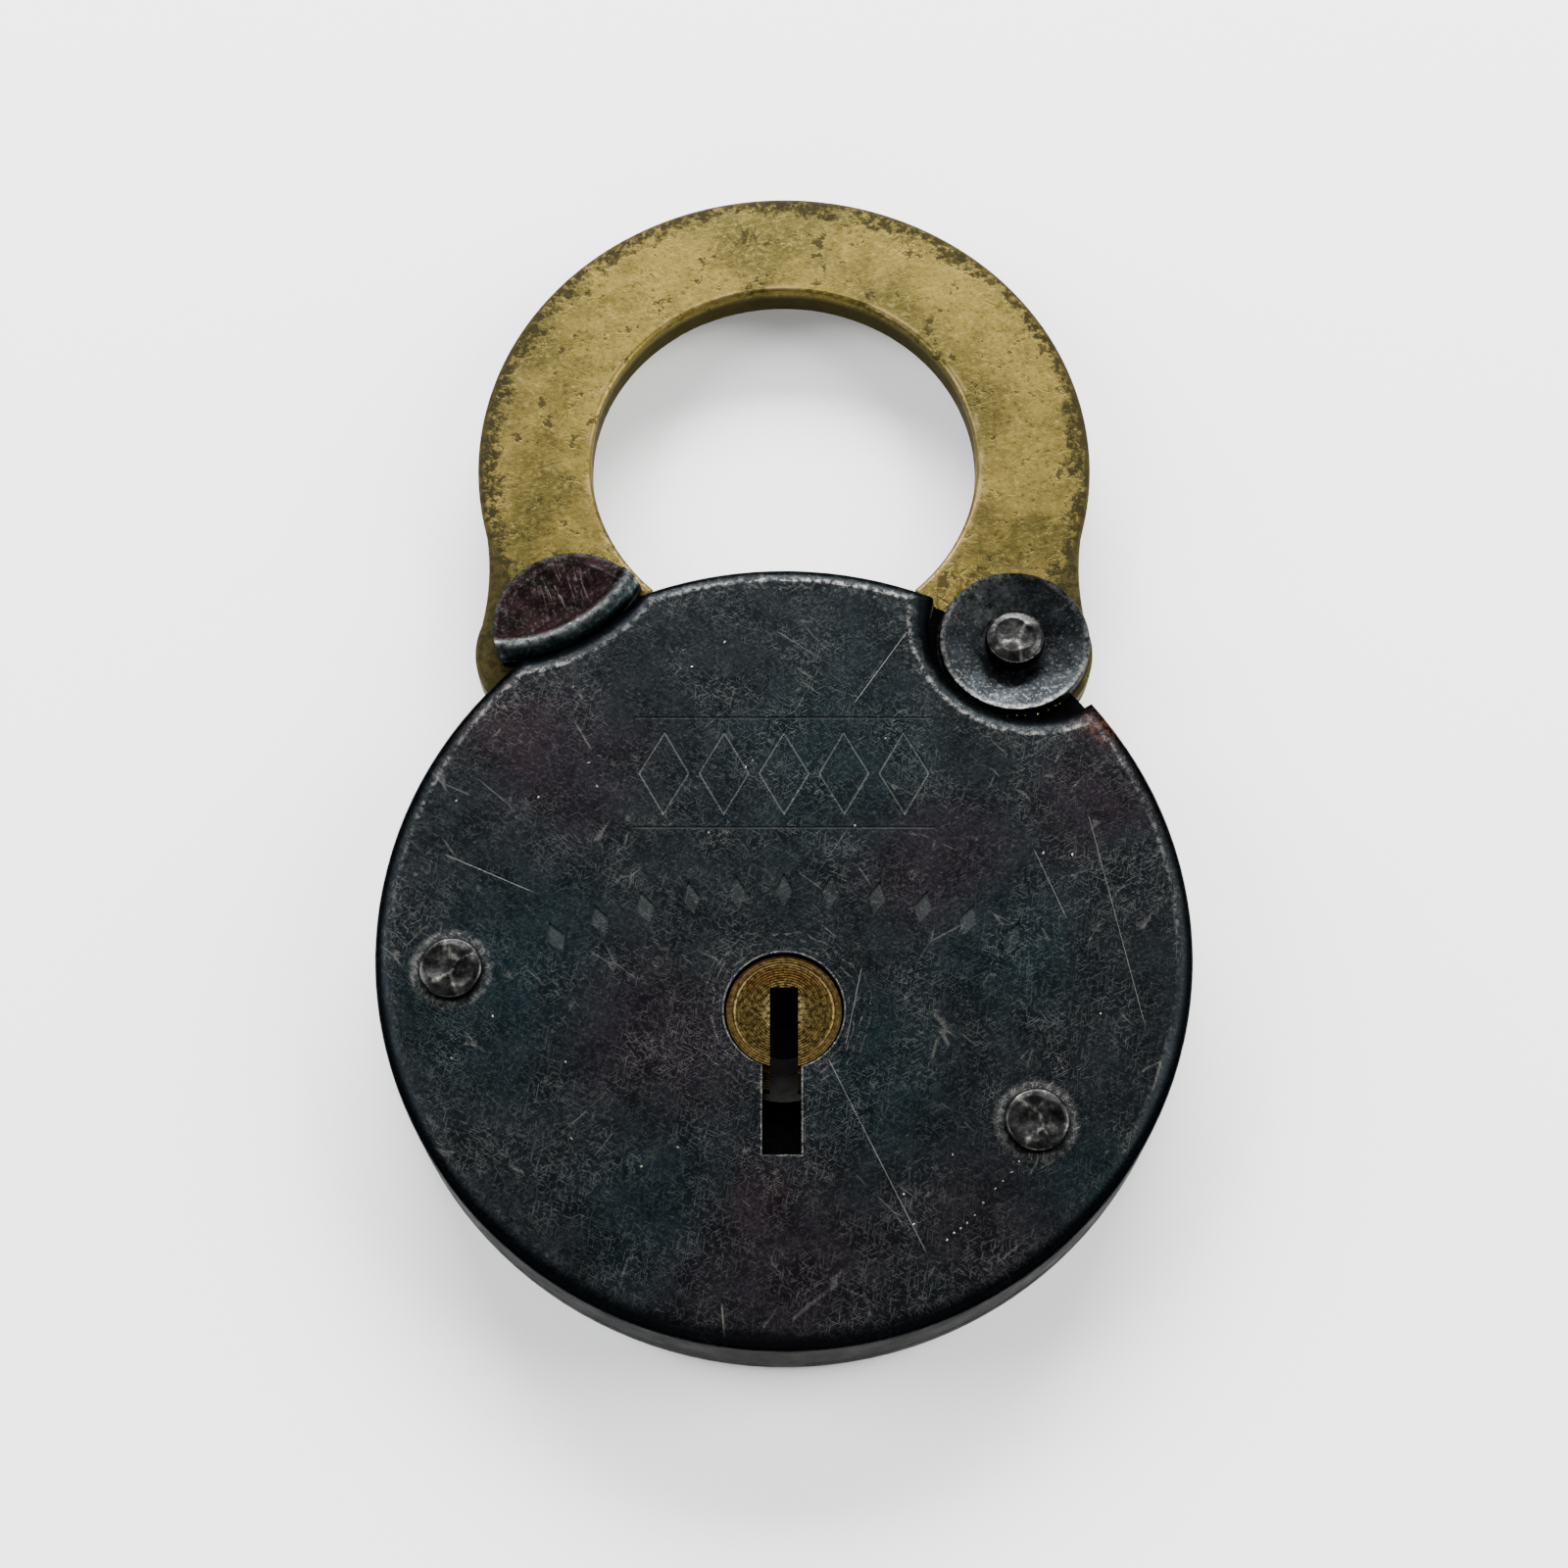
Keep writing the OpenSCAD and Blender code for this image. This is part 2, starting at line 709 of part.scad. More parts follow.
// The lower pin ends in a low head under the levers
module lower_guide_pin() {
    color([0.5, 0.5, 0.48]) {
        guide_pin(lower_guide, bolt_top + fit);
        translate([lower_guide.x, lower_guide.y, bolt_top + fit]) cylinder(r = guide_head_r, h = guide_head);
    }
}

// Pillar that keeps the shells apart behind the crown
module crown_pillar() {
    color([0.45, 0.45, 0.44]) translate([pillar_at.x, pillar_at.y, sheet])
        cylinder(r = pillar_r, h = face_under - sheet);
}

// Post that the springs bear on
module spring_stop() {
    color([0.45, 0.45, 0.44]) translate([stop_at.x, stop_at.y, sheet])
        cylinder(r = stop_r, h = face_under - sheet);
}

// The levers

// Two pockets joined by the gate that lets the stump through
module gate_cut() {
    half = stump / 2;
    foot = stump_at.y - half - gate_lift - slide;
    tall = stump + gate_lift + gate_drop + 3 * slide;
    translate([stump_at.x - half - gate_swing_in - fit * 2, foot])
        square([stump + gate_swing_in + gate_swing_out + slide, tall]);
    translate([stump_at.x - throw - half - gate_swing_in - slide, foot])
        square([stump + gate_swing_in + gate_swing_out + slide + fit * 2, tall]);
    translate([stump_at.x - throw, stump_at.y - half - slide])
        square([throw, stump + 2 * slide]);
}

// Flat lever: eye on the left rivet, belly over the drum, gates at the free end
module lever_blade() {
    polygon([
        left_at + [0, eye_r - 1], shoulder_at, [lever_back, lever_top],
        [lever_end - 2, lever_top], [lever_end, lever_top - 2], [lever_end, lever_foot],
        [stump_at.x - 8, lever_foot], [4, lever_foot - 2.5], [-9, lever_foot - 5],
        left_at + [0, 1 - eye_r],
    ]);
}

module lever(i) {
    translate([0, 0, lever_z + i * lever_pitch]) difference() {
        union() {
            linear_extrude(lever_t) lever_blade();
            translate([left_at.x, left_at.y, 0]) cylinder(r = eye_r, h = lever_t);
        }
        translate([drum_at.x, drum_at.y, -cut])
            cylinder(r = belly_r + belly_steps[i], h = lever_t + 2 * cut);
        translate([left_at.x, left_at.y, -cut]) cylinder(r = shank_r + fit, h = lever_t + 2 * cut);
        linear_cut(lever_t) gate_cut();
    }
}

// Leaf spring: an arc from the lever's top edge to the stop
module lever_spring(i) {
    start = [lever_back, lever_top + spring_t / 2 + fit];
    tip = stop_at - [0, stop_r + 2 * fit + spring_t / 2];
    span = norm(tip - start);
    sag = 1.6;
    bend_r = (span * span / 4 + sag * sag) / (2 * sag);
    lean = atan2(tip.y - start.y, tip.x - start.x);
    mid = (start + tip) / 2;
    centre = mid + (bend_r - sag) * [-sin(lean), cos(lean)];
    half = asin(span / 2 / bend_r);
    translate([centre.x, centre.y, lever_z + i * lever_pitch + 0.05])
        rotate([0, 0, lean - 90 - half]) rotate_extrude(angle = 2 * half, $fn = 180)
            translate([bend_r - spring_t / 2, 0]) square([spring_t, lever_t - 0.1]);
}

module lever_1() { color([0.72, 0.6, 0.32]) lever(0); }
module lever_2() { color([0.7, 0.58, 0.3]) lever(1); }
module lever_3() { color([0.72, 0.6, 0.32]) lever(2); }
module lever_4() { color([0.7, 0.58, 0.3]) lever(3); }
module lever_spring_1() { color([0.35, 0.36, 0.4]) lever_spring(0); }
module lever_spring_2() { color([0.35, 0.36, 0.4]) lever_spring(1); }
module lever_spring_3() { color([0.35, 0.36, 0.4]) lever_spring(2); }
module lever_spring_4() { color([0.35, 0.36, 0.4]) lever_spring(3); }

back_shell();
front_shell();
ear_plate();
shackle();
pivot_rivet();
left_rivet();
right_rivet();
right_spacer();
lever_bush();
key_drum();
drum_plate();
drum_bush();
bolt();
bolt_stump();
upper_guide_pin();
lower_guide_pin();
crown_pillar();
spring_stop();
lever_1();
lever_2();
lever_3();
lever_4();
lever_spring_1();
lever_spring_2();
lever_spring_3();
lever_spring_4();
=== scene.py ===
# A disc padlock lying on its back: a blued steel case, a flat brass shackle, riveted ears
# and a slotted brass drum in the keyhole. Sections follow the lock as it is put together.
import math
import random

import bpy
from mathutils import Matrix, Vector


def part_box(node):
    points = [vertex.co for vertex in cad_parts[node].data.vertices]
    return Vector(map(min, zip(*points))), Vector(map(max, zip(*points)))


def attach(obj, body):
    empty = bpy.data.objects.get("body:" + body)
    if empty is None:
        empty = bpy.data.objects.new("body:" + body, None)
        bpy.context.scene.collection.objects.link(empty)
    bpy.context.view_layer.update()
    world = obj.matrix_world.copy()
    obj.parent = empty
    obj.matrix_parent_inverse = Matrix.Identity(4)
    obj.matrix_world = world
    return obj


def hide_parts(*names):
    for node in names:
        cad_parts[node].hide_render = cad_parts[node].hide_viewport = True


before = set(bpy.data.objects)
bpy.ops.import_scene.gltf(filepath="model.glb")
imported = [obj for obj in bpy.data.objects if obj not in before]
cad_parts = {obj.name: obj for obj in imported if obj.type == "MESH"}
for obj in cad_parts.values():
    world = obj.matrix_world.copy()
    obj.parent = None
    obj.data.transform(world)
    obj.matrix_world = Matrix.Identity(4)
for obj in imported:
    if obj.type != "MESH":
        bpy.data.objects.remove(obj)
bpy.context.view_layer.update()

# --- Camera ---------------------------------------------------------------------------
# The lock is seen from in front of its lower rim, looking down on the face, from a bit
# over a quarter of a metre away.

camera_data = bpy.data.cameras.new("camera")
camera_data.sensor_width = 36.0
camera_data.lens = 61.3
camera_data.clip_start = 0.01
camera_data.clip_end = 20.0
camera = bpy.data.objects.new("camera", camera_data)
camera.location = (0.0, -0.07768, 0.24665)
camera.rotation_euler = (0.375, 0.0, 0.0)
bpy.context.scene.collection.objects.link(camera)
bpy.context.scene.camera = camera


# --- Floor and light ------------------------------------------------------------------
# A plain white sweep. A large soft panel behind and above the shackle throws the shadow
# of the lower rim, weaker ones stand at both sides and in front, under a pale sky.

lock_middle = Vector((0.0, 0.01, 0.0))


def panel_light(name, at, size, watts, tint):
    """A soft panel that faces the middle of the lock."""
    data = bpy.data.lights.new(name, "AREA")
    data.shape = "RECTANGLE"
    data.size, data.size_y = size
    data.energy = watts
    data.color = tint
    lamp = bpy.data.objects.new(name, data)
    lamp.location = at
    lamp.rotation_mode = "QUATERNION"
    lamp.rotation_quaternion = (lock_middle - Vector(at)).to_track_quat("-Z", "Y")
    bpy.context.scene.collection.objects.link(lamp)


side = 3.0
floor_mesh = bpy.data.meshes.new("floor")
floor_mesh.from_pydata([(-side, -side, 0), (side, -side, 0), (side, side, 0), (-side, side, 0)],
                       [], [(0, 1, 2, 3)])
floor = bpy.data.objects.new("floor", floor_mesh)
bpy.context.scene.collection.objects.link(floor)
floor_paint = bpy.data.materials.new("white_floor")
floor_paint.use_nodes = True
floor_shader = floor_paint.node_tree.nodes["Principled BSDF"]
floor_shader.inputs["Base Color"].default_value = (0.96, 0.96, 0.96, 1)
floor_shader.inputs["Roughness"].default_value = 0.9
floor_shader.inputs["Specular IOR Level"].default_value = 0.1
floor_mesh.materials.append(floor_paint)

panel_light("back_panel", (0.0, 0.90, 0.55), (1.0, 0.35), 47.0, (1.0, 0.99, 0.98))
panel_light("left_panel", (-0.85, 0.15, 0.45), (0.5, 0.9), 19.0, (0.97, 0.98, 1.0))
panel_light("right_panel", (0.85, 0.15, 0.45), (0.5, 0.9), 20.0, (1.0, 0.99, 0.97))
panel_light("front_panel", (0.0, -0.9, 0.4), (1.2, 0.3), 5.0, (1.0, 1.0, 1.0))

sky = bpy.data.worlds.new("pale_sky")
sky.use_nodes = True
sky.node_tree.nodes["Background"].inputs["Color"].default_value = (0.96, 0.97, 1.0, 1)
sky.node_tree.nodes["Background"].inputs["Strength"].default_value = 0.29
bpy.context.scene.world = sky


# --- Case shells ----------------------------------------------------------------------
# Front cup and back pan drawn from steel sheet and heat-blued in teal and plum clouds. The
# bluing is rubbed through on the rolls, where a painted highlight is added too, and fine hairs
# and scratches cross the face. Painted shade darkens the rolls and gaps.

class Finish:
    """A material's node tree, with short calls for the steps that the finishes share."""

    def __init__(self, name, edge=(1.0, 1.0, 1.0), metal=1.0):
        self.material = bpy.data.materials.new(name)
        self.material.use_nodes = True
        self.tree = self.material.node_tree
        self.shader = self.tree.nodes["Principled BSDF"]
        self.shader.inputs["Metallic"].default_value = metal
        self.shader.inputs["Specular Tint"].default_value = (*edge, 1.0)
        self.place = self.tree.nodes.new("ShaderNodeTexCoord").outputs["Object"]
        parts = self.tree.nodes.new("ShaderNodeSeparateXYZ")
        self.tree.links.new(self.place, parts.inputs[0])
        self.x, self.y, self.z = parts.outputs

    def give(self, socket, value):
        """Links another node's result to a socket, or sets a number or a colour on it."""
        if hasattr(value, "is_linked"):
            self.tree.links.new(value, socket)
        elif isinstance(value, tuple):
            socket.default_value = (*value, 1.0)
        else:
            socket.default_value = value

    def calc(self, how, *values):
        node = self.tree.nodes.new("ShaderNodeMath")
        node.operation = how
        for socket, value in zip(node.inputs, values):
            self.give(socket, value)
        return node.outputs[0]

    def chain(self, how, values):
        result = values[0]
        for value in values[1:]:
            result = self.calc(how, result, value)
        return result

    def times(self, *values):
        return self.chain("MULTIPLY", values)

    def most(self, *values):
        return self.chain("MAXIMUM", values)

    def least(self, *values):
        return self.chain("MINIMUM", values)

    def noise(self, scale, detail=3.0, rough=0.55, place=None, twist=0.0):
        node = self.tree.nodes.new("ShaderNodeTexNoise")
        self.give(node.inputs["Vector"], place or self.place)
        for key, amount in (("Scale", scale), ("Detail", detail),
                            ("Roughness", rough), ("Distortion", twist)):
            node.inputs[key].default_value = amount
        return node.outputs["Fac"]

    def turned(self, angle, stretch, shift=(0.0, 0.0, 0.0)):
        """Coordinates turned by an angle and then stretched."""
        node = self.tree.nodes.new("ShaderNodeMapping")
        node.vector_type = "TEXTURE"
        self.give(node.inputs["Vector"], self.place)
        node.inputs["Rotation"].default_value = (0.0, 0.0, angle)
        node.inputs["Scale"].default_value = stretch
        node.inputs["Location"].default_value = shift
        return node.outputs[0]

    def ramp(self, value, low, high, to_low=0.0, to_high=1.0):
        """A smooth step between two values."""
        node = self.tree.nodes.new("ShaderNodeMapRange")
        node.interpolation_type = "SMOOTHSTEP"
        for key, amount in zip(("Value", "From Min", "From Max", "To Min", "To Max"),
                               (value, low, high, to_low, to_high)):
            self.give(node.inputs[key], amount)
        return node.outputs[0]

    def mix(self, share, a, b):
        node = self.tree.nodes.new("ShaderNodeMix")
        node.data_type = "RGBA"
        for socket, value in ((node.inputs["Factor"], share), (node.inputs[6], a), (node.inputs[7], b)):
            self.give(socket, value)
        return node.outputs[2]

    def away(self, at):
        """Distance from an upright axis."""
        dx = self.calc("SUBTRACT", self.x, at[0])
        dy = self.calc("SUBTRACT", self.y, at[1])
        return self.calc("SQRT", self.calc("MULTIPLY_ADD", dx, dx, self.calc("MULTIPLY", dy, dy)))

    def band(self, value, centre, half):
        """One at the centre, fading to nothing at half away from it."""
        gap = self.calc("ABSOLUTE", self.calc("SUBTRACT", value, centre))
        return self.ramp(gap, 0.0, half, 1.0, 0.0)

    def cloud(self, spots, wander):
        """Soft round clouds, each an (x, y, radius), with uneven edges."""
        return self.most(*(self.ramp(self.calc("ADD", self.away(spot), wander), 0.0, spot[2], 1.0, 0.0)
                           for spot in spots))

    def hairs(self, angle, seed, length, width, rare):
        """Short fine hairs that lie one way."""
        place = self.turned(angle, (length, width, length), (seed, 2 * seed, 0.0))
        return self.ramp(self.noise(1.0, 1.0, 0.5, place), rare, rare + 0.10)

    def cracks(self, angle, seed, length, width, rare, wide=0.05):
        """Thin broken lines: the edges of stretched cells, kept here and there."""
        place = self.turned(angle, (length, width, length), (seed, 2 * seed, 0.0))
        cells = self.tree.nodes.new("ShaderNodeTexVoronoi")
        cells.feature = "DISTANCE_TO_EDGE"
        self.give(cells.inputs["Vector"], place)
        cells.inputs["Scale"].default_value = 1.0
        keep = self.ramp(self.noise(0.9, 2.0, 0.6, place), rare, rare + 0.06)
        return self.times(self.ramp(cells.outputs["Distance"], 0.0, wide, 1.0, 0.0), keep)

    def stroke(self, a, b, half):
        """One straight scratch from a to b, sharp where it starts and faint where it ends."""
        start_fade, end_fade = 0.0006, 0.0012
        dx, dy = b[0] - a[0], b[1] - a[1]
        span = math.hypot(dx, dy)
        offset = (a[0] * dy - a[1] * dx) / span
        start = -(a[0] * dx + a[1] * dy) / span
        across = self.calc("ABSOLUTE", self.calc("ADD", self.times(self.x, -dy / span),
                                                 self.calc("MULTIPLY_ADD", self.y, dx / span, offset)))
        along = self.calc("ADD", self.times(self.x, dx / span),
                          self.calc("MULTIPLY_ADD", self.y, dy / span, start))
        inside = self.times(self.ramp(along, 0.0, start_fade),
                            self.ramp(along, span - end_fade, span, 1.0, 0.0))
        return self.times(self.ramp(across, 0.0, half, 1.0, 0.0), inside)

    def shade(self, colour, rough, relief, depth, strength):
        """Puts colour, gloss and fine relief on the shader."""
        self.give(self.shader.inputs["Base Color"], colour)
        self.give(self.shader.inputs["Roughness"], rough)
        node = self.tree.nodes.new("ShaderNodeBump")
        node.inputs["Strength"].default_value = strength
        node.inputs["Distance"].default_value = depth
        self.give(node.inputs["Height"], relief)
        self.give(self.shader.inputs["Normal"], node.outputs[0])
        return self.material


def centre_of(name):
    """The upright axis through the middle of a node."""
    low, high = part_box(name)
    return ((low.x + high.x) / 2, (low.y + high.y) / 2)


def paint(names, material):
    """Puts a finish on every slot of the named CAD nodes."""
    for name in names:
        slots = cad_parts[name].data.materials
        if not slots:
            slots.append(material)
        for index in range(len(slots)):
            slots[index] = material


case_low, case_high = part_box("front_shell")
case_r = (case_high.x - case_low.x) / 2
face_z = case_high.z
edge_roll = 0.0018
seat_roll = 0.0023
pivot_at = centre_of("pivot_rivet")
toe_at = (-pivot_at[0], pivot_at[1])
drum_at = centre_of("key_drum")
left_at = centre_of("left_rivet")
right_at = centre_of("right_rivet")
head_r = 0.0029
worn_ring_r = 0.0034

# Two round seats are rolled down out of the face for the ears. The keyhole is a round
# hole with a slot below it, and the stamping is shallow.
pivot_seat_at = (pivot_at[0] + 0.0016, pivot_at[1] + 0.00145)
pivot_seat_r = 0.00985
toe_seat_at = (toe_at[0] - 0.0055, toe_at[1] + 0.0141)
toe_seat_r = 0.01645
hole_r = 0.0055
slot_half = 0.00175
slot_x = -0.0002
slot_end = drum_at[1] - 0.0135
stamp_depth = 0.00015
arc_row_y, upper_row_y = 0.0095, 0.0105


def blued_steel():
    f = Finish("blued_steel", (0.42, 0.42, 0.42))
    slate = (0.0066, 0.0084, 0.0094)
    deep_teal = (0.0042, 0.0105, 0.0118)
    dull_plum = (0.0108, 0.0074, 0.0100)
    dull_red = (0.021, 0.010, 0.011)
    pale_grain = (0.040, 0.042, 0.041)
    dark_grain = (0.003, 0.004, 0.006)
    hair_grey = (0.090, 0.091, 0.088)
    scratched_steel = (0.21, 0.20, 0.18)
    stamp_grey = (0.080, 0.090, 0.088)
    painted_shade_black = (0.0010, 0.0014, 0.0018)
    worn_and_sheen_steel = (0.21, 0.205, 0.195)
    floor_sheen_grey = (0.048, 0.048, 0.046)
    rust_brown = (0.050, 0.020, 0.015)
    rust_spot = (0.0304, 0.0211, 0.0026)

    # Heat colours in soft clouds, under a fine grain.
    wander = f.times(f.calc("SUBTRACT", f.noise(55.0, 3.0, 0.6), 0.5), 0.026)
    teal = f.cloud([(0.004, 0.019, 0.017), (-0.026, -0.005, 0.015), (0.009, -0.014, 0.013),
                    (0.020, -0.001, 0.012), (-0.013, -0.024, 0.010), (0.026, -0.022, 0.010)], wander)
    plum = f.cloud([(-0.022, 0.019, 0.013), (0.002, -0.031, 0.016), (-0.012, -0.010, 0.013),
                    (0.014, 0.007, 0.011), (0.031, 0.012, 0.010), (0.018, -0.026, 0.012)], wander)
    red = f.cloud([(-0.027, 0.021, 0.007), (0.031, 0.021, 0.005), (-0.001, -0.023, 0.004)], wander)
    colour = f.mix(f.times(teal, 0.75), slate, deep_teal)
    colour = f.mix(f.times(plum, 0.68), colour, dull_plum)
    colour = f.mix(f.times(red, 0.22), colour, dull_red)
    grain = f.noise(2700.0, 3.0, 0.75)
    colour = f.mix(f.ramp(grain, 0.52, 0.80, 0.0, 0.55), colour, pale_grain)
    colour = f.mix(f.ramp(grain, 0.28, 0.46, 0.6, 0.0), colour, dark_grain)

    # Short hairs that lie four ways, single strokes, and longer broken hairs.
    hair = f.most(f.hairs(0.5, 0.11, 0.0010, 0.00010, 0.62), f.hairs(1.4, 0.23, 0.0012, 0.00010, 0.62),
                  f.hairs(2.3, 0.37, 0.0009, 0.00009, 0.62), f.hairs(-0.4, 0.53, 0.0011, 0.00010, 0.63))
    patchy = f.ramp(f.noise(150.0, 3.0, 0.6), 0.38, 0.68, 0.15, 1.0)
    colour = f.mix(f.times(hair, patchy, 0.34), colour, hair_grey)
    strokes = f.most(f.stroke((0.0040, -0.0118), (0.0128, -0.0300), 0.00007),
                     f.stroke((0.0072, -0.0030), (0.0055, -0.0112), 0.00005),
                     f.stroke((0.0234, 0.0086), (0.0264, 0.0013), 0.00005),
                     f.stroke((0.0287, 0.0120), (0.0331, -0.0090), 0.00004),
                     f.stroke((-0.0320, 0.0080), (-0.0230, 0.0040), 0.00004),
                     f.stroke((0.0120, 0.0310), (0.0065, 0.0230), 0.00005),
                     f.stroke((-0.0055, -0.0340), (-0.0052, -0.0374), 0.00012))
    long_hair = f.most(f.cracks(0.9, 0.3, 0.006, 0.0020, 0.62), f.cracks(-0.7, 0.7, 0.007, 0.0022, 0.62))
    colour = f.mix(f.most(f.times(strokes, 0.5), f.times(long_hair, 0.14)), colour, scratched_steel)

    # The bluing is worn where the face starts to roll down, and round the holes.
    inside = f.least(f.calc("SUBTRACT", case_r - edge_roll, f.away((0.0, 0.0))),
                     f.calc("SUBTRACT", f.away(pivot_seat_at), pivot_seat_r + seat_roll),
                     f.calc("SUBTRACT", f.away(toe_seat_at), toe_seat_r + seat_roll))
    ragged = f.noise(1500.0, 3.0, 0.75)
    uneven = f.ramp(f.noise(120.0, 2.0, 0.5), 0.35, 0.65, 0.35, 1.0)
    # The worn line and haze are made stronger towards the top and down the upper sides: there they are also
    # a painted highlight on the roll.
    crown = f.ramp(f.y, -0.004, 0.024, 0.15, 1.0)
    line = f.times(f.band(inside, -0.00018, 0.00038), f.ramp(ragged, 0.43, 0.66), uneven, crown)
    haze = f.times(f.band(inside, 0.0003, 0.0020), f.ramp(ragged, 0.50, 0.74), uneven, crown, 0.28)
    around = f.away(drum_at)
    slot = f.most(f.calc("SUBTRACT", f.calc("ABSOLUTE", f.calc("SUBTRACT", f.x, slot_x)), slot_half),
                  f.calc("SUBTRACT", slot_end, f.y), f.calc("SUBTRACT", f.y, drum_at[1]))
    hole = f.least(f.calc("SUBTRACT", around, hole_r), slot)
    lip = f.times(f.band(hole, 0.00011, 0.00011), f.ramp(ragged, 0.38, 0.60, 0.10, 0.85))

    # Keys have rubbed broken rings round the keyhole, and the hammer one round each head.
    wobble = f.calc("MULTIPLY_ADD", f.noise(420.0, 2.0, 0.5), 14.0, f.times(around, 9500.0))
    swirl = f.times(f.ramp(f.calc("SINE", wobble), 0.5, 1.0), f.band(around, 0.0070, 0.0020),
                    f.ramp(f.noise(900.0, 2.0, 0.6), 0.44, 0.60), 0.20)
    rings = f.most(f.band(f.away(left_at), worn_ring_r, 0.0007),
                   f.band(f.away(right_at), worn_ring_r, 0.0007))
    top = f.ramp(f.z, face_z - 0.0012, face_z - 0.0003)
    ring = f.times(rings, f.ramp(ragged, 0.38, 0.66, 0.05, 0.45))
    wear_and_sheen = f.times(f.most(line, haze, lip, swirl, ring), top)
    # Painted shade: a black ring where each face rivet's head meets the face, and black on the upper part
    # of the rolls down to the ears' seats and the case edge.
    head_shade = f.most(f.band(f.away(left_at), head_r, 0.0003), f.band(f.away(right_at), head_r, 0.0003))
    under = f.times(f.ramp(inside, -0.0012, -0.0004, 1.0, 0.0), f.ramp(f.z, 0.0088, 0.0102))

    # Stamping is paler at its edges, and its floors are paler in the upper row.
    stamped = f.times(f.ramp(f.z, face_z - 0.00006, face_z - 0.00002, 1.0, 0.0),
                      f.ramp(inside, 0.0010, 0.0020), f.ramp(hole, 0.0004, 0.0006))
    edges = f.times(stamped, f.ramp(f.z, face_z - stamp_depth, face_z - 0.00013), 0.75)
    floors = f.times(stamped, f.ramp(f.y, arc_row_y, upper_row_y, 0.16, 0.7))
    colour = f.mix(f.most(edges, floors), colour, stamp_grey)
    # Painted shade: the keyhole's walls are painted black, and the rolls and head rings go black with them
    # here.
    wall = f.times(f.ramp(hole, 0.00001, 0.00003, 1.0, 0.0), f.ramp(f.z, face_z - 0.0020, face_z - 0.0015))
    colour = f.mix(f.times(f.most(under, wall, f.times(head_shade, top)), 0.92), colour, painted_shade_black)
    colour = f.mix(f.times(wear_and_sheen, 0.80), colour, worn_and_sheen_steel)

    # The lower wall is painted paler grey as a painted reflection of the floor, and a rust spot sits beside
    # the pivot's ear.
    floor_sheen = f.times(f.ramp(f.z, 0.0098, 0.0082), f.ramp(ragged, 0.3, 0.7, 0.30, 0.70))
    colour = f.mix(floor_sheen, colour, floor_sheen_grey)
    rust = f.times(f.cloud([rust_spot], f.times(wander, 0.08)), f.ramp(ragged, 0.42, 0.56), 0.8)
    colour = f.mix(rust, colour, rust_brown)
    gloss = f.ramp(f.noise(260.0, 3.0), 0.3, 0.7, 0.36, 0.50)
    relief = f.calc("ADD", f.times(grain, 0.6), f.times(f.most(hair, strokes), -0.35))
    return f.shade(colour, f.calc("SUBTRACT", gloss, f.times(wear_and_sheen, 0.08)), relief, 0.00005, 0.55)


paint(("front_shell", "back_shell", "upper_guide_pin"), blued_steel())


# --- Key drum -------------------------------------------------------------------------
# Brass drum turned on a lathe, with a bright tool ring and brown grime on its face. A dark
# steel disc closes the bottom of its key slot.

def turned_brass():
    f = Finish("turned_brass", (0.80, 0.72, 0.54))
    tool_ring_r = 0.00455
    key_floor_z = 0.0056
    grime_brown = (0.022, 0.015, 0.005)
    dull_brass = (0.078, 0.056, 0.017)
    rubbed_middle = (0.20, 0.155, 0.065)
    patina_brown = (0.045, 0.020, 0.005)
    cut_brass = (0.22, 0.155, 0.052)
    rim_brass = (0.095, 0.060, 0.020)
    bright_brass = (0.42, 0.30, 0.115)
    recess_shade_brown = (0.010, 0.007, 0.003)
    floor_black = (0.012, 0.012, 0.012)

    out = f.away(drum_at)
    tool = f.calc("SINE", f.times(out, 26000.0))
    grime = f.noise(2300.0, 4.0, 0.75)
    colour = f.mix(f.ramp(grime, 0.36, 0.64), grime_brown, dull_brass)
    middle = f.times(f.ramp(out, 0.0015, 0.0025, 1.0, 0.0), f.ramp(grime, 0.38, 0.62))
    colour = f.mix(middle, colour, rubbed_middle)
    patina = f.times(f.band(out, 0.0036, 0.0012),
                     f.ramp(f.y, drum_at[1] + 0.0010, drum_at[1] + 0.0030), 0.8)
    colour = f.mix(patina, colour, patina_brown)
    colour = f.mix(f.times(f.ramp(tool, 0.3, 1.0), f.ramp(grime, 0.42, 0.58), 0.22), colour, cut_brass)
    colour = f.mix(f.ramp(out, 0.00462, 0.00470, 0.0, 0.55), colour, rim_brass)
    ring = f.times(f.band(out, tool_ring_r, 0.00014), f.ramp(grime, 0.3, 0.55, 0.4, 1.0))
    colour = f.mix(ring, colour, bright_brass)
    # Painted shade: the drum darkens deeper down its slot, and past the edge of its face it is painted
    # nearly black.
    deep = f.most(f.ramp(f.z, face_z - 0.0018, face_z - 0.0009, 0.9, 0.0),
                  f.ramp(out, 0.0057, 0.0059, 0.0, 0.97))
    colour = f.mix(deep, colour, recess_shade_brown)
    colour = f.mix(f.ramp(f.z, 0.0060, key_floor_z), colour, floor_black)
    return f.shade(colour, f.ramp(grime, 0.3, 0.7, 0.28, 0.42),
                   f.calc("MULTIPLY_ADD", tool, 0.35, grime), 0.00004, 0.5)


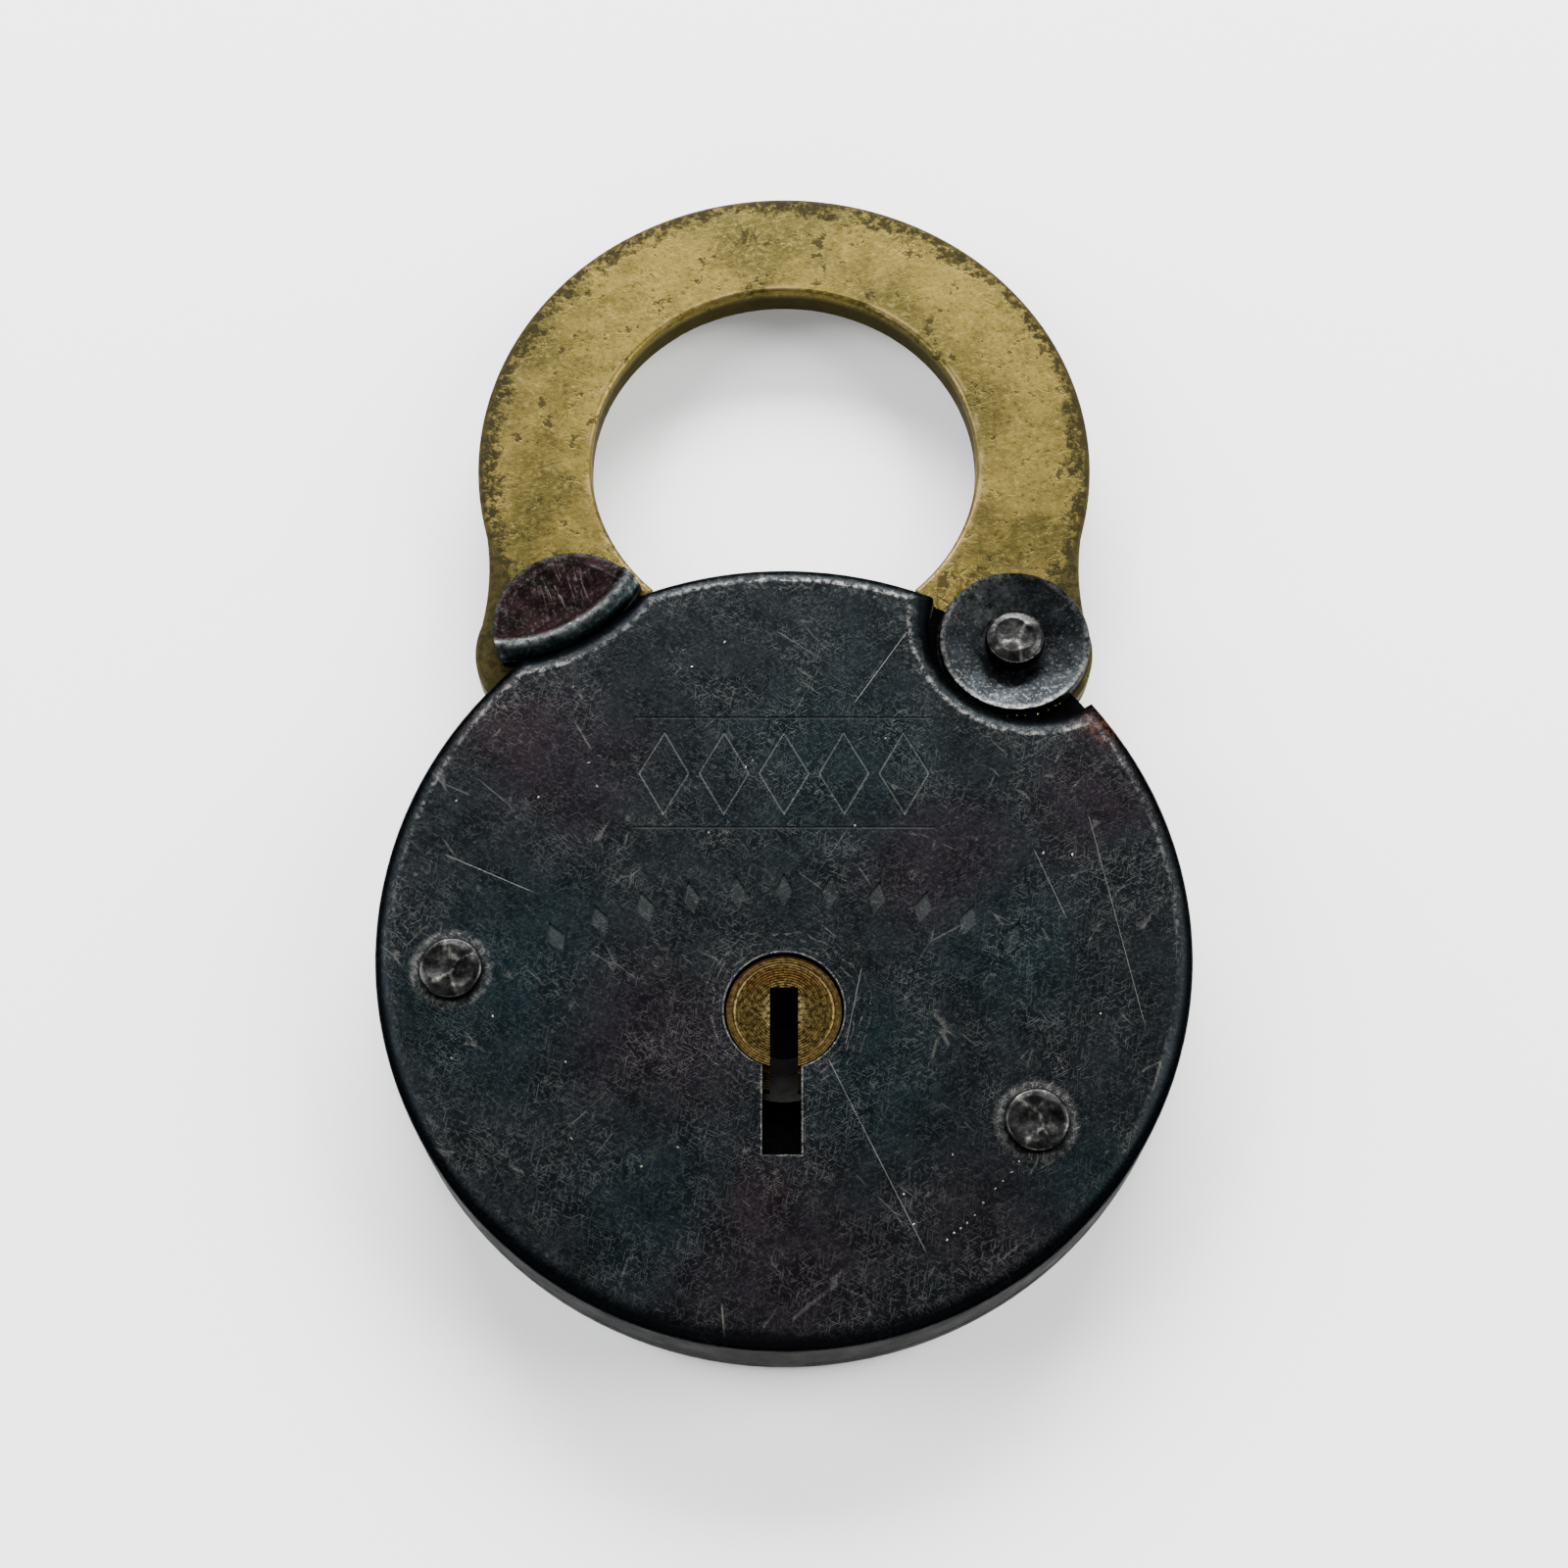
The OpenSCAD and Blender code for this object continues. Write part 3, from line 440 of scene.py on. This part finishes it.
def works_metal(name, dark, pale, metal=1.0):
    """Plain worked metal, mottled, with faint marks that lie one way."""
    f = Finish(name, metal=metal)
    colour = f.mix(f.ramp(f.noise(650.0, 4.0, 0.65), 0.35, 0.7), dark, pale)
    marks = f.noise(1.0, 2.0, 0.6, f.turned(0.3, (0.002, 0.0002, 0.002)))
    colour = f.mix(f.ramp(marks, 0.55, 0.7, 0.0, 0.4), colour, tuple(min(1.0, 1.6 * c) for c in pale))
    return f.shade(colour, f.ramp(f.noise(500.0, 3.0), 0.3, 0.7, 0.34, 0.55),
                   f.noise(1200.0, 3.0), 0.00005, 0.5)


paint(("key_drum", "drum_bush"), turned_brass())
paint(("drum_plate",), works_metal("key_strip", (0.014, 0.014, 0.0135), (0.040, 0.040, 0.039), 0.2))


# --- Works ----------------------------------------------------------------------------
# Bolt, stump, pins, sleeves and posts of bare oiled steel, brass levers and blue spring
# leaves, all shut inside the case.

oiled_steel = works_metal("oiled_steel", (0.055, 0.054, 0.052), (0.16, 0.155, 0.145))
lever_brass = works_metal("lever_brass", (0.14, 0.095, 0.03), (0.30, 0.22, 0.08))
blue_spring = works_metal("blue_spring", (0.02, 0.03, 0.09), (0.06, 0.05, 0.10))
paint(("bolt", "bolt_stump", "lower_guide_pin", "crown_pillar", "spring_stop", "right_spacer",
       "lever_bush"), oiled_steel)
for level in range(1, 5):
    paint((f"lever_{level}",), lever_brass)
    paint((f"lever_spring_{level}",), blue_spring)


# --- Shackle --------------------------------------------------------------------------
# Flat horseshoe blanked from brass plate. It has aged to a dull olive gold, with brown
# tarnish along its outer edge, dark pits and scratches, and a brown inner wall.

def aged_brass():
    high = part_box("shackle")[1]
    bow_r, bow_in = 0.031, 0.0195
    bow_at = (0.0, high.y - bow_r)
    f = Finish("aged_brass", (0.85, 0.80, 0.66))
    olive = (0.052, 0.043, 0.012)
    dull_gold = (0.108, 0.082, 0.021)
    pale_grain = (0.158, 0.124, 0.042)
    dark_grain = (0.024, 0.019, 0.007)
    brushed_gold = (0.165, 0.128, 0.040)
    tarnish_brown = (0.016, 0.014, 0.006)
    rubbed_gold = (0.17, 0.125, 0.050)

    # Olive and dull gold in soft patches, with a grain and a faint brushing.
    out = f.away(bow_at)
    colour = f.mix(f.ramp(f.noise(95.0, 4.0, 0.6), 0.40, 0.62), olive, dull_gold)
    fine = f.noise(1900.0, 4.0, 0.75)
    colour = f.mix(f.ramp(fine, 0.50, 0.72, 0.0, 0.65), colour, pale_grain)
    colour = f.mix(f.ramp(fine, 0.30, 0.47, 0.85, 0.0), colour, dark_grain)
    brush = f.hairs(0.25, 0.41, 0.0030, 0.00014, 0.58)
    colour = f.mix(f.times(brush, 0.25), colour, brushed_gold)

    # Tarnish creeps in from the outer edge, and pits and scratches gather on the legs.
    legs = f.ramp(f.y, bow_at[1] - 0.004, bow_at[1] - 0.020)
    ragged = f.noise(230.0, 6.0, 0.78)
    reach = f.calc("MULTIPLY_ADD", ragged, 0.0095, out)
    tarnish = f.times(f.ramp(reach, 0.0333, 0.0345),
                      f.ramp(f.noise(1100.0, 4.0, 0.75), 0.36, 0.54, 0.25, 1.0))
    rim = f.ramp(f.calc("MULTIPLY_ADD", ragged, 0.0018, out), 0.0310, 0.0315, 0.0, 0.85)
    tarnish = f.most(tarnish, rim)
    blots = f.ramp(f.calc("MULTIPLY_ADD", legs, 0.030, f.noise(430.0, 5.0, 0.72)), 0.570, 0.640, 0.0, 0.85)
    lines = f.most(f.cracks(0.9, 0.13, 0.0030, 0.0011, 0.48, 0.13),
                   f.cracks(-0.5, 0.29, 0.0034, 0.0012, 0.50, 0.12),
                   f.cracks(1.7, 0.47, 0.0036, 0.0010, 0.48, 0.14))
    scratch = f.most(f.hairs(1.2, 0.61, 0.0022, 0.00012, 0.63), f.hairs(2.6, 0.71, 0.0026, 0.00013, 0.63))
    scored = f.ramp(f.calc("MULTIPLY_ADD", legs, 0.22, f.noise(130.0, 3.0, 0.6)), 0.54, 0.74, 0.15, 1.0)
    edge = f.ramp(f.z, high.z - 0.0014, high.z - 0.0004, 0.9, 0.0)
    dark = f.most(tarnish, edge, blots, f.times(f.most(lines, scratch), scored, 0.85))
    colour = f.mix(dark, colour, tarnish_brown)
    bright = f.times(f.band(out, bow_in + 0.0005, 0.0005),
                     f.ramp(f.noise(300.0, 3.0), 0.45, 0.60, 0.0, 0.7),
                     f.ramp(f.z, high.z - 0.0006, high.z - 0.0002))
    colour = f.mix(bright, colour, rubbed_gold)
    gloss = f.calc("MULTIPLY_ADD", dark, 0.20, f.ramp(f.noise(420.0, 3.0), 0.3, 0.7, 0.36, 0.46))
    relief = f.calc("SUBTRACT", f.times(fine, 0.6), f.times(dark, 0.8))
    return f.shade(colour, gloss, relief, 0.00006, 0.6)


paint(("shackle",), aged_brass())


# --- Ear plate ------------------------------------------------------------------------
# Plate under the crown with a dished round ear at the pivot and a lens-shaped one over the
# toe. Blued like the case: greyer and rubbed at the pivot, red-brown in the toe's hollow.

def ear_steel():
    f = Finish("ear_steel", (0.50, 0.50, 0.50))
    toe_ear_at = (toe_at[0] + 0.0017, toe_at[1] + 0.0022)
    rim_r, ledge_r = 0.00765, 0.0066
    bead_in, bead_out = 0.0136, 0.0146
    lip_r = 0.00708
    red_brown = (0.020, 0.009, 0.011)
    brown_black = (0.008, 0.007, 0.006)
    scored_grey = (0.12, 0.10, 0.095)
    bead_teal = (0.010, 0.017, 0.018)
    rubbed_edge = (0.15, 0.155, 0.15)
    pale_blue = (0.0125, 0.0152, 0.0168)
    dark_blue = (0.0055, 0.0065, 0.0078)
    stain_grey = (0.065, 0.073, 0.072)
    rubbed_lip = (0.14, 0.138, 0.130)
    speck_grey = (0.078, 0.078, 0.075)
    painted_shade_black = (0.002, 0.002, 0.002)

    # The toe's ear: a red-brown hollow inside a teal bead, rubbed on its crest and rims.
    ragged = f.noise(1500.0, 4.0, 0.75)
    toe_out = f.away(toe_ear_at)
    seat_out = f.away(toe_seat_at)
    pivot_out = f.away(pivot_at)
    hollow = f.mix(f.ramp(f.noise(330.0, 4.0, 0.65), 0.35, 0.65), red_brown, brown_black)
    scoring = f.noise(1.0, 1.0, 0.5, f.turned(1.9, (0.0030, 0.00030, 0.002)), 1.4)
    swirls = f.times(f.ramp(scoring, 0.58, 0.68),
                     f.cloud([(toe_at[0] + 0.001, toe_at[1] + 0.006, 0.0042)], 0.0), 0.7)
    hollow = f.mix(swirls, hollow, scored_grey)
    bead = f.ramp(seat_out, bead_in, bead_out)
    toe = f.mix(bead, hollow, bead_teal)
    crest = f.times(f.band(seat_out, 0.01462, 0.00055), f.ramp(ragged, 0.34, 0.62))
    rim = f.times(f.band(toe_out, rim_r, 0.00042), f.ramp(ragged, 0.42, 0.60, 0.10, 0.6))
    ledge = f.times(f.band(toe_out, ledge_r, 0.00025), f.ramp(ragged, 0.45, 0.6),
                    f.ramp(f.y, 0.030, 0.036), 0.6)
    toe = f.mix(f.times(f.most(crest, rim, ledge), 0.55), toe, rubbed_edge)

    # The pivot's ear: blue-grey, with one paler stain and a rubbed lip.
    round_ear = f.mix(f.ramp(f.noise(420.0, 4.0, 0.6), 0.35, 0.65), pale_blue, dark_blue)
    stain = f.times(f.cloud([(pivot_at[0] - 0.002, pivot_at[1] + 0.005, 0.0055)],
                            f.times(f.calc("SUBTRACT", f.noise(500.0, 3.0, 0.6), 0.5), 0.006)), 0.7)
    round_ear = f.mix(f.times(stain, f.ramp(ragged, 0.35, 0.65)), round_ear, stain_grey)
    lip = f.times(f.band(pivot_out, lip_r, 0.00045), f.ramp(ragged, 0.40, 0.64))
    round_ear = f.mix(f.times(lip, 0.55), round_ear, rubbed_lip)
    colour = f.mix(f.ramp(f.x, -0.003, 0.003), toe, round_ear)
    speck = f.ramp(f.noise(2700.0, 3.0, 0.75), 0.50, 0.74, 0.0, 0.75)
    colour = f.mix(speck, colour, speck_grey)
    # Painted shade: the grooves round both ears are painted black.
    deep = f.most(f.times(f.ramp(pivot_out, 0.0074, 0.0076), f.ramp(f.x, 0.0, 0.001)),
                  f.times(f.ramp(seat_out, 0.01595, 0.01605), f.ramp(f.x, 0.0, -0.001)))
    colour = f.mix(deep, colour, painted_shade_black)
    return f.shade(colour, f.ramp(f.noise(500.0, 2.0), 0.3, 0.7, 0.28, 0.44),
                   f.calc("ADD", f.noise(800.0, 4.0, 0.65), f.times(swirls, 0.5)), 0.00010, 0.5)


paint(("ear_plate",), ear_steel())


# --- Rivets ---------------------------------------------------------------------------
# Soft steel rivets through case and ears. Each head was set with a few hammer blows, which
# left shallow hollows that lean one way round. The ridges between them are painted bright,
# as rubbed steel and as a painted highlight.

def hammered_steel():
    f = Finish("hammered_steel", (0.60, 0.60, 0.60))
    hollow_black = (0.008, 0.008, 0.0085)
    hollow_grey = (0.032, 0.032, 0.032)
    grain_grey = (0.095, 0.093, 0.086)
    ridge_wear_and_sheen = (0.24, 0.23, 0.205)
    ridge = f.tree.nodes.new("ShaderNodeAttribute")
    ridge.attribute_name = "ridge"
    line = ridge.outputs["Fac"]
    ragged = f.noise(1300.0, 4.0, 0.75)
    colour = f.mix(f.ramp(f.noise(650.0, 4.0, 0.7), 0.35, 0.66), hollow_black, hollow_grey)
    colour = f.mix(f.ramp(ragged, 0.52, 0.74, 0.0, 0.5), colour, grain_grey)
    colour = f.mix(f.times(line, f.ramp(ragged, 0.42, 0.62, 0.05, 0.75)), colour, ridge_wear_and_sheen)
    return f.shade(colour, f.ramp(f.noise(900.0, 3.0), 0.3, 0.7, 0.26, 0.44),
                   f.noise(900.0, 4.0, 0.65), 0.00008, 0.5)


rivet_steel = hammered_steel()
ridge_drop = 0.00006


def turn(name, at, profile, rim, top_z, dome, blows):
    """A turned body, closed at the bottom, under a head whose top is cut by hammer blows."""
    around, rings = 96, 26
    points, ridges, faces = [(at[0], at[1], profile[0][1])], [0.0], []
    spin = [(math.cos(2 * math.pi * k / around), math.sin(2 * math.pi * k / around)) for k in range(around)]
    for r, z in profile:
        points += [(at[0] + r * c, at[1] + r * s, z) for c, s in spin]
        ridges += [0.0] * around
    for ring in range(rings, 0, -1):
        r = rim * ring / rings
        for c, s in spin:
            drops = sorted(((r * c - bx) ** 2 + (r * s - by) ** 2) * -bowl + level
                           for bx, by, bowl, level in blows)
            lowest = min(top_z - dome * (r / rim) ** 2, top_z - drops[-1])
            step = drops[-1] - drops[-2]
            ridges.append(max(0.0, 1.0 - step / ridge_drop) * (0.4 + 0.6 * (ring < rings - 1)))
            points.append((at[0] + r * c, at[1] + r * s, lowest))
    middle = max(level - bowl * (bx * bx + by * by) for bx, by, bowl, level in blows)
    points.append((at[0], at[1], top_z - middle))
    ridges.append(0.0)
    layers = len(profile) + rings
    for k in range(around):
        j = (k + 1) % around
        faces.append((0, 1 + j, 1 + k))
        for layer in range(layers - 1):
            a, b = 1 + layer * around, 1 + (layer + 1) * around
            faces.append((a + k, a + j, b + j, b + k))
        last = 1 + (layers - 1) * around
        faces.append((last + k, last + j, len(points) - 1))
    mesh = bpy.data.meshes.new(name)
    mesh.from_pydata(points, [], faces)
    mesh.shade_smooth()
    mesh.set_sharp_from_angle(angle=math.radians(38))
    mesh.attributes.new("ridge", "FLOAT", "POINT").data.foreach_set("value", ridges)
    mesh.materials.append(rivet_steel)
    thing = bpy.data.objects.new(name, mesh)
    bpy.context.scene.collection.objects.link(thing)
    return thing


def struck(count, swing, reach, seed):
    """Blows round a head: places, how hollow each is and how deep it went."""
    rng = random.Random(seed)
    blows = []
    for k in range(count):
        turn_by = swing + 2 * math.pi * (k + rng.uniform(-0.28, 0.28)) / count
        far = reach * rng.uniform(0.7, 1.15)
        blows.append((far * math.cos(turn_by), far * math.sin(turn_by),
                      rng.uniform(45.0, 95.0), rng.uniform(0.00022, 0.00038)))
    return blows


case_shank_r = 0.0017
for name, at, seed in (("left_rivet", left_at, 4), ("right_rivet", right_at, 9)):
    low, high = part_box(name)
    profile = [(0.0025, low.z), (case_shank_r, low.z + 0.0009), (case_shank_r, face_z),
               (0.00272, face_z + 0.00002), (head_r, face_z + 0.00022),
               (head_r, high.z - 0.00062), (0.00282, high.z - 0.00050)]
    blows = struck(4, 0.6 + seed, 0.00165, seed)
    rivet = turn(name + "_struck", at, profile, 0.00268, high.z - 0.0001, 0.00032, blows)
    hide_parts(name)
    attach(rivet, "case")

low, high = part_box("pivot_rivet")
pivot_shank_r = 0.0020
ear_top_z = 0.0085
profile = [(0.0018, low.z), (0.0026, low.z + 0.0004), (head_r, low.z + 0.0011),
           (pivot_shank_r, low.z + 0.00112), (pivot_shank_r, ear_top_z), (0.0028, ear_top_z + 0.00002),
           (head_r, ear_top_z + 0.0003), (head_r, high.z - 0.00075), (0.00276, high.z - 0.00045)]
rivet = turn("pivot_rivet_struck", pivot_at, profile, 0.00258, high.z, 0.00048, struck(3, 0.2, 0.0013, 3))
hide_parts("pivot_rivet")
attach(rivet, "case")


# --- Chips and crumbs -----------------------------------------------------------------
# Small bright chips in a dotted line by the right rivet, stray ones over the face, and
# brass crumbs rubbed off the shackle into the grooves beside the ears.

def flakes(name, places, size, seed, material):
    """Flat irregular flakes on the given places, each turned and sized at random."""
    cloud_mesh = bpy.data.meshes.new(name)
    cloud_mesh.from_pydata(places, [], [])
    thing = bpy.data.objects.new(name, cloud_mesh)
    bpy.context.scene.collection.objects.link(thing)
    tree = bpy.data.node_groups.new(name + "_tree", "GeometryNodeTree")
    tree.interface.new_socket("Geometry", in_out="INPUT", socket_type="NodeSocketGeometry")
    sized = tree.interface.new_socket("Flake size", in_out="INPUT", socket_type="NodeSocketFloat")
    seeded = tree.interface.new_socket("Seed", in_out="INPUT", socket_type="NodeSocketInt")
    tree.interface.new_socket("Geometry", in_out="OUTPUT", socket_type="NodeSocketGeometry")

    def step(kind, links, **settings):
        node = tree.nodes.new(kind)
        for key, value in settings.items():
            setattr(node, key, value)
        for key, value in links.items():
            if hasattr(value, "is_linked"):
                tree.links.new(value, node.inputs[key])
            else:
                node.inputs[key].default_value = value
        return node

    given = step("NodeGroupInput", {})
    ball = step("GeometryNodeMeshIcoSphere", {"Radius": 1.0, "Subdivisions": 2})
    dots = step("GeometryNodeMeshToPoints", {"Mesh": given.outputs[0]})
    least_turn, most_turn = (0.0, 0.0, 0.0), (0.3, 0.3, 6.28)
    spin = step("FunctionNodeRandomValue",
                {0: least_turn, 1: most_turn, "Seed": given.outputs["Seed"]}, data_type="FLOAT_VECTOR")
    least_shape, most_shape = (0.5, 0.35, 0.16), (1.5, 0.8, 0.24)
    grow = step("FunctionNodeRandomValue",
                {0: least_shape, 1: most_shape, "Seed": given.outputs["Seed"]}, data_type="FLOAT_VECTOR")
    scale = step("ShaderNodeVectorMath",
                 {0: grow.outputs[0], "Scale": given.outputs["Flake size"]}, operation="SCALE")
    put = step("GeometryNodeInstanceOnPoints", {"Points": dots.outputs[0], "Instance": ball.outputs[0],
                                                "Rotation": spin.outputs[0], "Scale": scale.outputs[0]})
    real = step("GeometryNodeRealizeInstances", {0: put.outputs[0]})
    dressed = step("GeometryNodeSetMaterial", {0: real.outputs[0], "Material": material})
    tree.links.new(dressed.outputs[0], tree.nodes.new("NodeGroupOutput").inputs[0])
    scatter = thing.modifiers.new("flakes", "NODES")
    scatter.node_group = tree
    scatter[sized.identifier] = size
    scatter[seeded.identifier] = seed
    graph = bpy.context.evaluated_depsgraph_get()
    solid = bpy.data.meshes.new_from_object(thing.evaluated_get(graph))
    thing.modifiers.clear()
    thing.data = solid
    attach(thing, "case")


def chipped(name, dark, pale):
    f = Finish(name)
    return f.shade(f.mix(f.ramp(f.noise(3000.0, 3.0, 0.7), 0.35, 0.65), dark, pale), 0.35,
                   f.noise(2500.0, 3.0, 0.7), 0.00003, 0.5)


rng = random.Random(31)
chip_count, chip_size = 34, 0.00012
half_width, lowest, highest, flat_r = 0.033, -0.033, 0.030, 0.035
kept_clear = ((pivot_seat_at, 0.013), (toe_seat_at, 0.020), (drum_at, 0.016), (left_at, 0.004),
              (right_at, 0.004))
dotted = [(0.0211, -0.0214), (0.0204, -0.0224), (0.0196, -0.0232), (0.0189, -0.0239), (0.0178, -0.0252),
          (0.0170, -0.0263), (0.0163, -0.0270), (0.0157, -0.0275), (0.0151, -0.0279), (0.0145, -0.0285)]
chips = [(x, y, face_z) for x, y in dotted]
while len(chips) < chip_count:
    x = rng.uniform(-half_width, half_width)
    y = rng.uniform(lowest, highest)
    clear = min(math.hypot(x - at[0], y - at[1]) - keep for at, keep in kept_clear)
    if math.hypot(x, y) < flat_r and clear > 0:
        chips.append((x, y, face_z))
chip_steel = chipped("chip_steel", (0.14, 0.13, 0.10), (0.36, 0.34, 0.28))
flakes("face_chips", chips, chip_size, 5, chip_steel)

groove_z = 0.00842
groove_half = 0.0001
crumb_size = 0.00013
crumbs = []
for at, r, first, last, count in ((pivot_at, 0.00755, 3.6, 5.6, 22), (toe_seat_at, 0.0162, 4.85, 5.60, 14)):
    for _ in range(count):
        angle = rng.uniform(first, last)
        far = r + rng.uniform(-groove_half, groove_half)
        crumbs.append((at[0] + far * math.cos(angle), at[1] + far * math.sin(angle), groove_z))
crumb_brass = chipped("crumb_brass", (0.10, 0.075, 0.025), (0.30, 0.235, 0.09))
flakes("brass_crumbs", crumbs, crumb_size, 8, crumb_brass)
